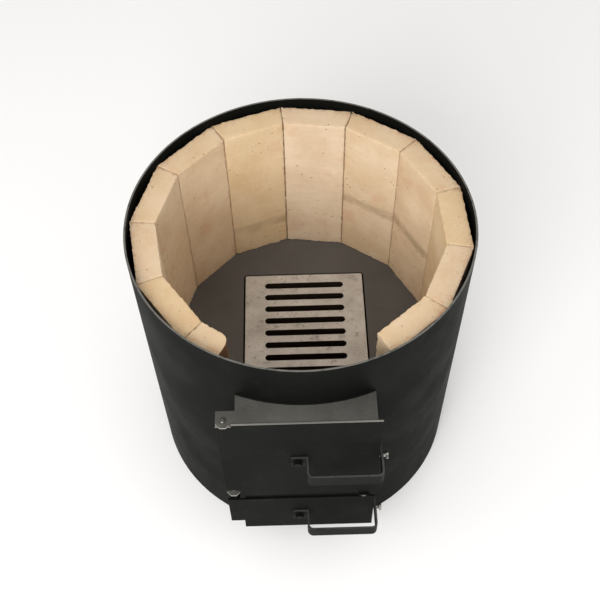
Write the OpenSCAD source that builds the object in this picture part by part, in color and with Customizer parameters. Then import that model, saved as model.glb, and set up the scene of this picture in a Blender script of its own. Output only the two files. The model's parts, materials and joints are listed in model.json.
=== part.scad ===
// Round steel stove for a cauldron, lined with standing fireclay slabs.
// A box-shaped neck at the front carries a fire door above an ash door, both hung on one
// hinge rod at the left. Each door is held shut by a strip handle that pivots on a bolt
// and rests on a keeper bolt. A cast iron grate lies loose in the floor plate.
// Millimetres. +Z is up, the doors face -Y, and the origin is the shell's centre on the ground.

/* [Shell] */
// Outside diameter of the shell
shell_d = 500; // [460:5:700]
// Height of the shell from the ground to its rim
shell_h = 500; // [410:5:800]
// Thickness of the shell and neck sheet
sheet_t = 3; // [2:0.5:5]

/* [Floors] */
// Height of the floor plate's top above the ground
floor_z = 203; // [165:1:260]
// Thickness of the floor plate
floor_t = 4; // [3:0.5:8]
// Height of the ash pit floor's top above the ground
ash_z = 78; // [50:1:95]

/* [Lining] */
// Number of fireclay slabs, the two cut ones beside the neck included
brick_count = 12; // [12:1:12]
// Thickness of a slab
brick_t = 37; // [25:1:50]
// How far the slabs' tops stand below the rim
brick_drop = 13; // [5:1:40]
// Outside width of the cut slab left of the neck
left_cut_w = 55.4; // [30:0.2:110]
// Outside width of the cut slab right of the neck
right_cut_w = 106.3; // [30:0.2:115]
// Width of the dry joint between two slabs
joint_gap = 1; // [0.6:0.1:3]
// Gap between a slab's outer corners and the shell
brick_gap = 0.4; // [0.3:0.1:3]
// How far the lining stands back from the neck's sides
lining_step = 1.5; // [0:0.5:20]

/* [Grate] */
// Width of the grate
grate_w = 202; // [150:1:230]
// Length of the grate, front to back
grate_l = 288; // [240:1:300]
// Thickness of the grate
grate_t = 14; // [10:1:20]
// Place of the grate's middle along X
grate_x = 5; // [-6:1:6]
// Place of the grate's middle along Y
grate_y = -18; // [-20:1:0]
// Number of slots
slot_count = 11; // [7:1:11]
// Distance from slot to slot
slot_pitch = 24.3; // [20:0.1:24.3]
// Length of a slot, round ends included
slot_l = 135; // [90:1:140]
// Width of a slot
slot_w = 11.5; // [8:0.5:13]
// Corner radius of the grate
grate_corner = 3; // [1:0.5:15]
// Gap between the grate and the floor plate's cut-out
grate_gap = 3; // [1:0.5:6]
// Width of the ledge under each end of the grate
ledge_w = 15; // [8:1:16]

/* [Neck] */
// Outside width of the neck
neck_w = 190; // [150:1:235]
// How far the neck stands out in front of the shell
neck_out = 26.7; // [22:0.1:60]
// How far the neck's top lies below the rim
neck_drop = 83; // [60:1:150]
// Height of the crossbar behind the seam between the doors
crossbar_h = 31; // [26:1:40]

/* [Doors] */
// Thickness of a door sheet
door_t = 3; // [2:0.5:5]
// How far a door laps past the neck's right side
door_lap_right = 7; // [4:0.5:14]
// How far a door laps past the neck's left side
door_lap_left = 5; // [4:0.5:8]
// Width of the hinge flange beside a door
flange_w = 21; // [18:0.5:26]
// How far the fire door rises above the neck's top
fire_lap_top = 1; // [0:0.5:3]
// How far the fire door reaches below the floor plate's top
fire_lap_bottom = 8; // [5:0.5:10]
// Height of the seam between the two doors
seam_h = 15; // [12:0.5:16]
// How far the ash door reaches below the ash pit floor's top
ash_lap_bottom = 4; // [3:0.5:10]
// Height of the ash door's bottom corner that the hinge flange leaves free
ash_flange_rise = 26; // [15:1:30]

/* [Hinge] */
// Diameter of the hinge rod
rod_d = 8; // [5:0.1:9.6]
// Radial running clearance of the doors' lugs on the rod
rod_clear = 0.08; // [0.02:0.01:0.1]
// Gap between the rod and a door's back
rod_gap = 1; // [0.4:0.1:2]
// Distance from the rod's centre to the neck's left side
rod_out = 15.5; // [15:0.5:20]
// Half width of a hinge ear around the rod
ear_half = 10.3; // [8.5:0.1:10.3]
// Size of the bevel on an ear's front corners
ear_bevel = 6.3; // [6.3:0.1:8]
// How far an ear reaches behind the rod's centre
ear_back = 15; // [8:0.5:20]
// Thickness of the ears and lugs
ear_t = 3; // [2:0.5:5]
// Radius of a door's hinge lug
lug_r = 8; // [7.5:0.1:9]
// Height of the spacer between the middle ear and the fire door
spacer_h = 12; // [6:0.5:20]

/* [Handles] */
// Outside width of a handle, from leg to leg
handle_w = 108; // [90:1:120]
// How far a handle stands out from its door
handle_reach = 33.5; // [28:0.5:50]
// Height of the handle strip
strip_h = 25; // [15:0.5:26]
// Thickness of the handle strip
strip_t = 3; // [2:0.5:4]
// Outside radius of a handle's two front corners
handle_corner = 9; // [5:0.5:14]
// Length of the foot that lies on the door
foot_l = 22; // [16:0.5:30]
// Height of the fire handle's middle above the fire door's bottom edge
fire_handle_up = 114.5; // [60:0.5:118]
// Height of the ash handle's middle above the ash door's bottom edge
ash_handle_up = 50.5; // [30:0.5:52]
// Gap between a door's edge and the handle leg that passes it
leg_gap = 2; // [2:0.1:4]
// Height of the tail that rests on the keeper bolt
tail_h = 11.5; // [6:0.5:12]
// How far the tail reaches behind the door's front face
tail_l = 23; // [18:0.5:26]
// Diameter of the pivot and keeper bolts
bolt_d = 6; // [4:0.5:6]
// Radial running clearance of a handle's foot on its bolt
bolt_clear = 0.06; // [0.02:0.01:0.1]
// Distance from the tail's outside face to the keeper bolt's head
keeper_reach = 6; // [3:0.5:12]

/* [Hidden] */
$fn = 128;

// Gap between pieces that move past each other, and between welded edges
gap = 0.3;
// Overshoot of a cut past the surface it opens
cut = 1;
// How far a bolt or screw sticks out of its nut or its thread
bolt_tip = 1;

paint = "#2c2c2a";
bare_steel = "#8b8a86";
cast_iron = "#97908a";
fireclay = "#dcc3a0";

shell_r = shell_d / 2;
bore_r = shell_r - sheet_t;
plate_r = bore_r - gap;

// Lining ring: angles are in degrees from +X, counted anticlockwise seen from above
brick_ro = bore_r - brick_gap;
brick_h = shell_h - brick_drop - floor_z;
front_a = 270;
mouth_half_a = asin((neck_w / 2 + lining_step) / (brick_ro - brick_t));
left_cut_a = 2 * asin(left_cut_w / 2 / brick_ro);
right_cut_a = 2 * asin(right_cut_w / 2 / brick_ro);
full_a = (360 - 2 * mouth_half_a - left_cut_a - right_cut_a) / (brick_count - 2);

// How far a grate ledge ends short of the grate's round corners
ledge_inset = 1;
// Straight bit that keeps a slot's two end arcs apart
slot_flat = 0.01;

// Neck
neck_half = neck_w / 2;
neck_in = neck_half - sheet_t;
neck_top_z = shell_h - neck_drop;
neck_y = -(shell_r + neck_out);
crossbar_z = floor_z - crossbar_h;

// Doors
door_back_y = neck_y - gap;
door_front_y = door_back_y - door_t;
door_x0 = -(neck_half + door_lap_left);
door_x1 = neck_half + door_lap_right;
fire_z0 = floor_z - fire_lap_bottom;
fire_z1 = neck_top_z + fire_lap_top;
ash_z0 = ash_z - ash_lap_bottom;
ash_z1 = fire_z0 - seam_h;

// Hinge
rod_x = -(neck_half + rod_out);
rod_y = door_back_y + rod_gap + rod_d / 2;
rod_stub = 2.5;
rod_chamfer = 1;
spacer_wall = 2;
// Metal in front of the rod on the bottom ear
bottom_ear_wall = 2.5;
middle_ear_z = floor_z - floor_t;
spacer_z = middle_ear_z + ear_t;
spacer_r = rod_d / 2 + spacer_wall;
fire_flange_z0 = spacer_z + spacer_h;
fire_flange_z1 = neck_top_z - sheet_t - gap;
ash_flange_z0 = ash_z0 + ash_flange_rise;
bottom_ear_z = ash_flange_z0 - gap - ear_t;
bottom_ear_front = rod_d / 2 + bottom_ear_wall;

// Handles
handle_x1 = door_x1 + leg_gap + strip_t;
handle_x0 = handle_x1 - handle_w;
handle_y = door_front_y - handle_reach;
foot_y = door_front_y - gap;
// How far the pivot bolt sits beyond the foot's middle, away from the bend
pivot_shift = 1;
pivot_x = handle_x0 - foot_l / 2 - pivot_shift;
fire_handle_z = fire_z0 + fire_handle_up;
ash_handle_z = ash_z0 + ash_handle_up;

// Fasteners
bolt_r = bolt_d / 2;
hex_r = bolt_d;
head_t = 3.5;
nut_t = 4;
washer_r = 8;
washer_t = 1.2;
hole_slack = 0.2;
// Stack on a pivot bolt, from the front: head, washer, handle foot, door, nut
washer_y = foot_y - strip_t - gap - washer_t;
// How far the keeper bolts' axis lies behind a door's back
keeper_back = 10;
keeper_y = door_back_y + keeper_back;
keeper_drop = strip_h / 2 + gap + bolt_r;
keeper_x1 = handle_x1 + keeper_reach;

// Bracket that the fire door's free corner rests on
bracket_w = 15;
bracket_out = 7;
bracket_t = 2.5;
bracket_x = neck_in - bracket_w;
bracket_z1 = fire_z0 - gap;
// Gap between the bracket and the ash door's top edge
bracket_gap = 1;
bracket_z0 = ash_z1 + bracket_gap;
screw_r = 2;
screw_head_r = 3.6;
screw_head_t = 2.2;
screw_z = (bracket_z0 + bracket_z1 - bracket_t) / 2;

// Solid box from its lowest corner to its highest corner
module block(low, high) {
    translate(low)
        cube(high - low);
}

// Cylinder along +Y that starts at the given y
module rod_along_y(x, z, y0, y1, r, sides = 64) {
    translate([x, y0, z])
        rotate([-90, 0, 0])
            cylinder(r = r, h = y1 - y0, $fn = sides);
}

// Cylinder along +X that starts at the given x
module rod_along_x(y, z, x0, x1, r, sides = 64) {
    translate([x0, y, z])
        rotate([0, 90, 0])
            cylinder(r = r, h = x1 - x0, $fn = sides);
}

// Everything inside the shell's outer face and a welding gap, for trimming what butts against it
module shell_trim() {
    translate([0, 0, -cut])
        cylinder(r = shell_r + gap, h = shell_h + 2 * cut);
}

module shell() {
    color(paint)
        difference() {
            cylinder(r = shell_r, h = shell_h);
            translate([0, 0, -cut])
                cylinder(r = bore_r, h = shell_h + 2 * cut);
            block([-neck_in, -shell_r - cut, ash_z], [neck_in, -shell_r / 2, neck_top_z - sheet_t]);
        }
}

module floor_plate() {
    hole_w = grate_w + 2 * grate_gap;
    hole_l = grate_l + 2 * grate_gap;
    color(paint)
        difference() {
            translate([0, 0, floor_z - floor_t])
                cylinder(r = plate_r, h = floor_t);
            translate([grate_x, grate_y, floor_z - floor_t - cut])
                linear_extrude(floor_t + 2 * cut)
                    round_rect(hole_w, hole_l, grate_corner + grate_gap);
        }
}

// Rectangle about the origin with round corners
module round_rect(w, l, r) {
    square([w - 2 * r, l], center = true);
    square([w, l - 2 * r], center = true);
    for (x = [-1, 1], y = [-1, 1])
        translate([x * (w / 2 - r), y * (l / 2 - r)])
            circle(r);
}

// Angle section under the back end of the grate, about the grate's middle
module grate_ledge() {
    edge = grate_l / 2 + grate_gap;
    top = floor_z - grate_t - gap;
    half = grate_w / 2 - grate_corner - ledge_inset;
    translate([-half, 0, 0])
        rotate([90, 0, 90])
            linear_extrude(2 * half)
                polygon([[edge - ledge_w, top - sheet_t], [edge + sheet_t, top - sheet_t],
                         [edge + sheet_t, floor_z - floor_t], [edge, floor_z - floor_t],
                         [edge, top], [edge - ledge_w, top]]);
}

module grate_ledges() {
    color(paint)
        for (turn = [0, 180])
            translate([grate_x, grate_y, 0])
                rotate([0, 0, turn])
                    grate_ledge();
}

module ash_floor() {
    color(paint)
        translate([0, 0, ash_z - sheet_t])
            cylinder(r = plate_r, h = sheet_t);
}

// Ear outline about the rod's centre, from the neck's side round the front of the rod
module ear_outline(front) {
    bevel = min(ear_bevel, front);
    root_y = -(rod_y - neck_y) + gap;
    polygon([[rod_out, ear_back], [-ear_half, ear_back], [-ear_half, bevel - front],
             [bevel - ear_half, -front], [ear_half - bevel, -front], [ear_half, bevel - front],
             [ear_half, root_y], [rod_out, root_y]]);
}

// Ear plate with its rod hole, its underside at height z
module ear(z, front) {
    translate([rod_x, rod_y, z])
        linear_extrude(ear_t)
            difference() {
                ear_outline(front);
                circle(rod_d / 2 + rod_clear);
            }
}

module neck_top() {
    color(paint)
        translate([0, 0, neck_top_z - sheet_t])
            linear_extrude(sheet_t)
                difference() {
                    union() {
                        translate([-neck_half, neck_y])
                            square([neck_w, shell_r]);
                        translate([rod_x, rod_y])
                            ear_outline(ear_half);
                    }
                    circle(shell_r + gap);
                    translate([-neck_half - cut, -shell_r / 2])
                        square([neck_w + 2 * cut, shell_r]);
                    translate([rod_x, rod_y])
                        circle(rod_d / 2 + rod_clear);
                }
}

// Side sheet of the neck: side is -1 at the left and 1 at the right
module neck_side(side) {
    x0 = side < 0 ? -neck_half : neck_in;
    difference() {
        block([x0, neck_y, ash_z], [x0 + sheet_t, -shell_r / 2, neck_top_z - sheet_t]);
        shell_trim();
    }
}

module neck_left_side() {
    color(paint)
        neck_side(-1);
}

module neck_right_side() {
    color(paint)
        difference() {
            neck_side(1);
            for (z = [fire_handle_z, ash_handle_z])
                rod_along_x(keeper_y, z - keeper_drop, neck_in - cut, neck_half + cut, bolt_r + hole_slack);
        }
}

module neck_crossbar() {
    color(paint)
        difference() {
            block([-neck_in, neck_y, crossbar_z], [neck_in, neck_y + sheet_t, floor_z]);
            rod_along_y(bracket_x + bracket_w / 2, screw_z, neck_y - cut, neck_y + sheet_t + cut,
                        screw_r + hole_slack);
        }
}

module throat_floor() {
    color(paint)
        difference() {
            block([-neck_in, neck_y + sheet_t, floor_z - floor_t], [neck_in, -shell_r / 2, floor_z]);
            translate([0, 0, floor_z - floor_t - cut])
                cylinder(r = plate_r + gap, h = floor_t + 2 * cut);
        }
}

module neck_bottom() {
    color(paint)
        difference() {
            block([-neck_half, neck_y, ash_z - sheet_t], [neck_half, -shell_r / 2, ash_z]);
            shell_trim();
        }
}

module middle_ear() {
    color(paint)
        ear(middle_ear_z, ear_half);
}

module bottom_ear() {
    color(paint)
        ear(bottom_ear_z, bottom_ear_front);
}

module hinge_rod() {
    z0 = bottom_ear_z - rod_stub;
    z1 = neck_top_z + rod_stub;
    color(bare_steel)
        translate([rod_x, rod_y, 0]) {
            translate([0, 0, z0])
                cylinder(r = rod_d / 2, h = z1 - z0 - rod_chamfer);
            translate([0, 0, z1 - rod_chamfer])
                cylinder(r1 = rod_d / 2, r2 = rod_d / 2 - rod_chamfer, h = rod_chamfer);
        }
}

module hinge_spacer() {
    color(bare_steel)
        translate([rod_x, rod_y, spacer_z])
            difference() {
                cylinder(r = spacer_r, h = spacer_h - gap);
                translate([0, 0, -cut])
                    cylinder(r = rod_d / 2 + rod_clear, h = spacer_h + 2 * cut);
            }
}

// Angle bracket on the crossbar, under the fire door's free corner
module rest_bracket() {
    color(paint)
        difference() {
            union() {
                block([bracket_x, neck_y - bracket_t, bracket_z0], [bracket_x + bracket_w, neck_y, bracket_z1]);
                block([bracket_x, neck_y - bracket_out, bracket_z1 - bracket_t],
                      [bracket_x + bracket_w, neck_y, bracket_z1]);
            }
            rod_along_y(bracket_x + bracket_w / 2, screw_z, neck_y - bracket_t - cut, neck_y + cut,
                        screw_r + hole_slack);
        }
}

module rest_screw() {
    x = bracket_x + bracket_w / 2;
    head_y = neck_y - bracket_t;
    color(bare_steel) {
        rod_along_y(x, screw_z, head_y, neck_y + sheet_t + bolt_tip, screw_r);
        rod_along_y(x, screw_z, head_y - screw_head_t, head_y, screw_head_r);
    }
}

// Bolt that sticks out of the neck's right side and carries a handle's tail
module keeper_bolt(z) {
    rod_along_x(keeper_y, z, neck_in - nut_t - bolt_tip, keeper_x1, bolt_r);
    rod_along_x(keeper_y, z, keeper_x1, keeper_x1 + head_t, hex_r, 6);
}

module keeper_bolts() {
    color(bare_steel)
        for (z = [fire_handle_z, ash_handle_z])
            keeper_bolt(z - keeper_drop);
}

// Nut along X on a keeper bolt, from the given x
module keeper_nut(x, z) {
    difference() {
        rod_along_x(keeper_y, z, x, x + nut_t, hex_r, 6);
        rod_along_x(keeper_y, z, x - cut, x + nut_t + cut, bolt_r + bolt_clear);
    }
}

module keeper_nuts() {
    color(bare_steel)
        for (z = [fire_handle_z, ash_handle_z], x = [neck_in - nut_t, neck_half])
            keeper_nut(x, z - keeper_drop);
}

// Angle that slab i takes in the ring, slab 1 being the cut one left of the neck
function brick_a(i) = i == 1 ? left_cut_a : i == brick_count ? right_cut_a : full_a;
// Angle of slab i's middle, going clockwise from the left of the neck
function brick_mid_a(i) =
    i == 1 ? front_a - mouth_half_a - left_cut_a / 2
           : brick_mid_a(i - 1) - (brick_a(i - 1) + brick_a(i)) / 2;

// Standing slab with mitred sides
module brick(i) {
    half = brick_a(i) / 2;
    outer = brick_ro * cos(half);
    inner = outer - brick_t;
    trim = joint_gap / 2 / cos(half);
    outer_w = outer * tan(half) - trim;
    inner_w = inner * tan(half) - trim;
    color(fireclay)
        translate([0, 0, floor_z])
            rotate([0, 0, brick_mid_a(i)])
                linear_extrude(brick_h)
                    polygon([[inner, -inner_w], [outer, -outer_w], [outer, outer_w], [inner, inner_w]]);
}

// Door sheet with its hinge flange and the hole for its handle's pivot bolt
module door_panel(z0, z1, flange_z0, flange_z1, handle_z) {
    color(paint)
        difference() {
            union() {
                block([door_x0, door_front_y, z0], [door_x1, door_back_y, z1]);
                block([door_x0 - flange_w, door_front_y, flange_z0], [door_x0, door_back_y, flange_z1]);
            }
            rod_along_y(pivot_x, handle_z, door_front_y - cut, door_back_y + cut, bolt_r + hole_slack);
        }
}

// Lug on a door flange's back, with its bore for the hinge rod
module door_lug(z) {
    back = rod_y - door_back_y;
    translate([rod_x, rod_y, z])
        linear_extrude(ear_t)
            difference() {
                union() {
                    translate([-lug_r, -back])
                        square([2 * lug_r, back]);
                    circle(lug_r);
                }
                translate([-lug_r - cut, -back - lug_r])
                    square([2 * (lug_r + cut), lug_r]);
                circle(rod_d / 2 + rod_clear);
            }
}

// Lugs at both ends of a door's flange
module door_lugs(flange_z0, flange_z1) {
    color(paint) {
        door_lug(flange_z0);
        door_lug(flange_z1 - ear_t);
    }
}

module pivot_bolt(z) {
    color(bare_steel) {
        rod_along_y(pivot_x, z, washer_y, door_back_y + nut_t + bolt_tip, bolt_r);
        rod_along_y(pivot_x, z, washer_y - head_t, washer_y, hex_r, 6);
    }
}

module pivot_washer(z) {
    color(bare_steel)
        difference() {
            rod_along_y(pivot_x, z, washer_y, washer_y + washer_t, washer_r);
            rod_along_y(pivot_x, z, washer_y - cut, washer_y + washer_t + cut, bolt_r + hole_slack);
        }
}

module pivot_nut(z) {
    color(bare_steel)
        difference() {
            rod_along_y(pivot_x, z, door_back_y, door_back_y + nut_t, hex_r, 6);
            rod_along_y(pivot_x, z, door_back_y - cut, door_back_y + nut_t + cut, bolt_r + bolt_clear);
        }
}

// Rectangle whose two front corners are round
module front_round_rect(x0, x1, y0, y1, r) {
    translate([x0 + r, y0])
        square([x1 - x0 - 2 * r, y1 - y0]);
    translate([x0, y0 + r])
        square([x1 - x0, y1 - y0 - r]);
    for (x = [x0 + r, x1 - r])
        translate([x, y0 + r])
            circle(r);
}

// Handle bent from strip on edge: foot, left leg, grip, right leg and the tail beside the door
module handle(z) {
    color(paint)
        translate([0, 0, z - strip_h / 2])
            difference() {
                union() {
                    linear_extrude(strip_h) {
                        difference() {
                            front_round_rect(handle_x0, handle_x1, handle_y, foot_y, handle_corner);
                            front_round_rect(handle_x0 + strip_t, handle_x1 - strip_t, handle_y + strip_t,
                                             foot_y + cut, handle_corner - strip_t);
                        }
                        translate([handle_x0 - foot_l, foot_y - strip_t])
                            square([foot_l + strip_t, strip_t]);
                    }
                    block([handle_x1 - strip_t, foot_y - strip_t, 0], [handle_x1, door_front_y + tail_l, tail_h]);
                }
                rod_along_y(pivot_x, strip_h / 2, foot_y - strip_t - cut, foot_y + cut, bolt_r + bolt_clear);
            }
}

module grate() {
    color(cast_iron)
        translate([grate_x, grate_y, floor_z - grate_t])
            linear_extrude(grate_t)
                difference() {
                    round_rect(grate_w, grate_l, grate_corner);
                    for (i = [0:slot_count - 1])
                        translate([0, (i - (slot_count - 1) / 2) * slot_pitch])
                            round_rect(slot_l, slot_w, slot_w / 2 - slot_flat);
                }
}

shell();
floor_plate();
grate_ledges();
ash_floor();
neck_top();
neck_left_side();
neck_right_side();
neck_crossbar();
throat_floor();
neck_bottom();
middle_ear();
bottom_ear();
hinge_rod();
hinge_spacer();
rest_bracket();
rest_screw();
keeper_bolts();
keeper_nuts();
brick(1);  // brick_01
brick(2);  // brick_02
brick(3);  // brick_03
brick(4);  // brick_04
brick(5);  // brick_05
brick(6);  // brick_06
brick(7);  // brick_07
brick(8);  // brick_08
brick(9);  // brick_09
brick(10);  // brick_10
brick(11);  // brick_11
brick(12);  // brick_12
door_panel(fire_z0, fire_z1, fire_flange_z0, fire_flange_z1, fire_handle_z);  // fire_door_panel
door_lugs(fire_flange_z0, fire_flange_z1);  // fire_door_lugs
pivot_bolt(fire_handle_z);  // fire_pivot_bolt
pivot_washer(fire_handle_z);  // fire_pivot_washer
pivot_nut(fire_handle_z);  // fire_pivot_nut
door_panel(ash_z0, ash_z1, ash_flange_z0, ash_z1, ash_handle_z);  // ash_door_panel
door_lugs(ash_flange_z0, ash_z1);  // ash_door_lugs
pivot_bolt(ash_handle_z);  // ash_pivot_bolt
pivot_washer(ash_handle_z);  // ash_pivot_washer
pivot_nut(ash_handle_z);  // ash_pivot_nut
handle(fire_handle_z);  // fire_handle
handle(ash_handle_z);  // ash_handle
grate();
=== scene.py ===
"""Looks of the brick-lined cauldron stove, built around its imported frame."""
import json
import logging
import math
from collections.abc import Callable, Iterator
from contextlib import contextmanager
from dataclasses import dataclass, field
from enum import Enum

import bpy
from mathutils import Matrix, Vector


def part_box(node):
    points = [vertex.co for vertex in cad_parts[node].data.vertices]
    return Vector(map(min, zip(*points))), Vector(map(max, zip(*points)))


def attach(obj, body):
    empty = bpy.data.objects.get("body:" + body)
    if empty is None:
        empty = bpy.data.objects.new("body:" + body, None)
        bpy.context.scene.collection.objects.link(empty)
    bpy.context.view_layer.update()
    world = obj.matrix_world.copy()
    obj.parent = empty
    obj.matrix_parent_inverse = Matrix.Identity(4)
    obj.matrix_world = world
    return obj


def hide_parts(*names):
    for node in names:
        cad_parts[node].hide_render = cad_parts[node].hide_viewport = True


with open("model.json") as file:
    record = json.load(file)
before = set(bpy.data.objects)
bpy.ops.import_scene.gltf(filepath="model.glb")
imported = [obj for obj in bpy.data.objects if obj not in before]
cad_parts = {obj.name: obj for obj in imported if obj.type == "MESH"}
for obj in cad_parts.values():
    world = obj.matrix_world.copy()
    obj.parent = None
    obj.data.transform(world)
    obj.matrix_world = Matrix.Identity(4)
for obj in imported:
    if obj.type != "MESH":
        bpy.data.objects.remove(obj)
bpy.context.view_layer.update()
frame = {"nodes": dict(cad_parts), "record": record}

log = logging.getLogger("stove")

MM = 0.001
NODES = frame["nodes"]
RECORD = frame["record"]
BODY_OF = {node: body for body, nodes in RECORD["behaviour"]["bodies"].items() for node in nodes}
# Points of a CAD mesh that are closer than this are one point
MERGE_MM = 0.01
# Faces of a CAD mesh that meet at less than this are one flat face
FLAT_DEGREES = 0.2

Piece = bpy.types.Object
Socket = bpy.types.NodeSocket
Node = bpy.types.Node
Tree = bpy.types.NodeTree


# ---------------------------------------------------------------- small helpers


def linear(hex_code: str) -> tuple[float, float, float, float]:
    """Turn an sRGB hex code into a linear colour.

    Args:
        hex_code: Colour such as "#2a2b28".

    Returns:
        Red, green, blue and alpha in linear light.
    """
    parts = [int(hex_code[i:i + 2], 16) / 255 for i in (1, 3, 5)]
    light = [c / 12.92 if c <= 0.04045 else ((c + 0.055) / 1.055) ** 2.4 for c in parts]
    return (light[0], light[1], light[2], 1.0)


def per_mm(size_mm: float) -> float:
    """Return the texture scale whose features are about size_mm across."""
    return 1 / (size_mm * MM)


def make_active(piece: Piece) -> None:
    """Select a piece alone and make it the active one.

    Args:
        piece: Object to select.
    """
    for other in bpy.context.selected_objects:
        other.select_set(False)
    piece.select_set(True)
    bpy.context.view_layer.objects.active = piece


@contextmanager
def editing(piece: Piece, kind: str = "EDGE", select: str = "DESELECT") -> Iterator[None]:
    """Open a piece in edit mode.

    Args:
        piece: Mesh object to edit.
        kind: Select mode, one of VERT, EDGE and FACE.
        select: DESELECT for nothing, SELECT for all, or KEEP for what is selected already.

    Returns:
        Nothing, for the time that edit mode is open.
    """
    make_active(piece)
    bpy.ops.object.mode_set(mode="EDIT")
    bpy.ops.mesh.select_mode(type=kind)
    if select != "KEEP":
        bpy.ops.mesh.select_all(action=select)
    try:
        yield
    finally:
        bpy.ops.object.mode_set(mode="OBJECT")


def select_edges(piece: Piece, wanted: Callable[[Vector, Vector], bool]) -> int:
    """Select the edges that a test on their two ends picks, for edit mode opened with KEEP.

    Args:
        piece: Mesh object in object mode.
        wanted: Test on an edge's two end points.

    Returns:
        How many edges were selected.
    """
    bpy.context.tool_settings.mesh_select_mode = (False, True, False)
    mesh = piece.data
    for face in mesh.polygons:
        face.select = False
    for vertex in mesh.vertices:
        vertex.select = False
    count = 0
    for edge in mesh.edges:
        ends = [mesh.vertices[i].co for i in edge.vertices]
        edge.select = wanted(ends[0], ends[1])
        count += edge.select
    return count


def finish_with(piece: Piece, kind: str, **settings: object) -> None:
    """Add a modifier with its settings and apply it.

    Args:
        piece: Mesh object to change.
        kind: Modifier type, such as BEVEL.
        settings: Values set on the modifier.
    """
    make_active(piece)
    modifier = piece.modifiers.new(kind.title(), kind)
    for name, value in settings.items():
        setattr(modifier, name, value)
    bpy.ops.object.modifier_apply(modifier=modifier.name)


def roughen(
    piece: Piece,
    grain_mm: float,
    depth_mm: float,
    level: float,
    group: str = "",
    contrast: float = 1.0,
) -> None:
    """Push a piece's surface in and out by a cloudy pattern.

    Args:
        piece: Mesh object to change.
        grain_mm: Size of the pattern's clouds.
        depth_mm: How far a full step pushes.
        level: Pattern value that stays in place; higher ones go out and lower ones in.
        group: Vertex group that limits it, if any.
        contrast: Contrast of the pattern.
    """
    clouds = bpy.data.textures.new("clouds", "CLOUDS")
    clouds.noise_scale = grain_mm * MM
    clouds.contrast = contrast
    finish_with(
        piece, "DISPLACE", texture=clouds, texture_coords="LOCAL", strength=depth_mm * MM,
        mid_level=level, vertex_group=group,
    )


def smooth_by_angle(piece: Piece, degrees: float = 35) -> None:
    """Shade a piece smooth where its faces meet at less than an angle."""
    make_active(piece)
    bpy.ops.object.shade_smooth_by_angle(angle=math.radians(degrees))


def settle_normals(piece: Piece) -> None:
    """Let the broad flat faces set the shading, so that they look flat up to their edges."""
    finish_with(piece, "WEIGHTED_NORMAL", keep_sharp=True)


def mean_point(mesh: bpy.types.Mesh) -> Vector:
    """Return the mean of a mesh's vertices."""
    return sum((v.co for v in mesh.vertices), Vector()) / len(mesh.vertices)


def merged_copy(node: str, name: str) -> Piece:
    """Copy a CAD node into a piece of its own, with its doubles merged and flat faces joined.

    Args:
        node: CAD node to copy.
        name: Name of the new piece.

    Returns:
        The new mesh object, with no material yet.
    """
    piece = bpy.data.objects.new(name, NODES[node].data.copy())
    bpy.context.scene.collection.objects.link(piece)
    piece.data.materials.clear()
    make_active(piece)
    bpy.ops.mesh.customdata_custom_splitnormals_clear()
    with editing(piece, "VERT", "SELECT"):
        bpy.ops.mesh.remove_doubles(threshold=MERGE_MM * MM)
        bpy.ops.mesh.dissolve_limited(angle_limit=math.radians(FLAT_DEGREES))
        bpy.ops.mesh.normals_make_consistent(inside=False)
    return piece


def stand_for(piece: Piece, *nodes: str) -> None:
    """Let a finished piece take the place of CAD nodes, on their body.

    Args:
        piece: The finished piece.
        nodes: CAD nodes that it stands for.
    """
    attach(piece, BODY_OF[nodes[0]])
    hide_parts(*nodes)
    log.info("%s stands for %s: %d faces", piece.name, ", ".join(nodes), len(piece.data.polygons))


def dress(piece: Piece, material: bpy.types.Material) -> None:
    """Give a piece one material all over."""
    piece.data.materials.clear()
    piece.data.materials.append(material)


def dress_faces(
    piece: Piece,
    material: bpy.types.Material,
    wanted: Callable[[Vector, Vector], bool],
) -> None:
    """Give a second material to the faces that a test picks.

    Args:
        piece: Mesh object that already has a material.
        material: Material for the picked faces.
        wanted: Test on a face's middle and normal.
    """
    piece.data.materials.append(material)
    index = len(piece.data.materials) - 1
    for face in piece.data.polygons:
        if wanted(face.center, face.normal):
            face.material_index = index


def faces_up(_middle: Vector, normal: Vector) -> bool:
    """Pick the faces that look up."""
    return normal.z > 0.9


def faces_front(_middle: Vector, normal: Vector) -> bool:
    """Pick the faces that look to the front."""
    return normal.y < -0.6


def face_planes(piece: Piece) -> list[tuple[Vector, Vector]]:
    """Return the middle and normal of each face of a piece."""
    return [(face.center.copy(), face.normal.copy()) for face in piece.data.polygons]


# ---------------------------------------------------------------- finishes


def add_node(
    tree: Tree,
    kind: str,
    inputs: dict[str | int, object] | None = None,
    **settings: object,
) -> Node:
    """Add a shader node with its settings, values and links.

    Args:
        tree: Node tree of a material or world.
        kind: Node type, such as ShaderNodeBump.
        inputs: Input name or index to a value, or to a socket that is linked in.
        settings: Properties set on the node itself.

    Returns:
        The new node.
    """
    node = tree.nodes.new(kind)
    for name, value in settings.items():
        setattr(node, name, value)
    for key, value in (inputs or {}).items():
        if isinstance(value, Socket):
            tree.links.new(value, node.inputs[key])
        else:
            node.inputs[key].default_value = value
    return node


def ramp(
    tree: Tree,
    source: Socket,
    stops: list[tuple[float, tuple[float, float, float, float]]],
) -> Socket:
    """Colour a value by a ramp of stops.

    Args:
        tree: Node tree to add to.
        source: Value from 0 to 1.
        stops: Places from 0 to 1 with their linear colours.

    Returns:
        The ramp's colour.
    """
    node = add_node(tree, "ShaderNodeValToRGB", {"Fac": source})
    points = node.color_ramp.elements
    while len(points) < len(stops):
        points.new(0.5)
    for point, (place, colour) in zip(points, stops):
        point.position = place
        point.color = colour
    return node.outputs["Color"]


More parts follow.
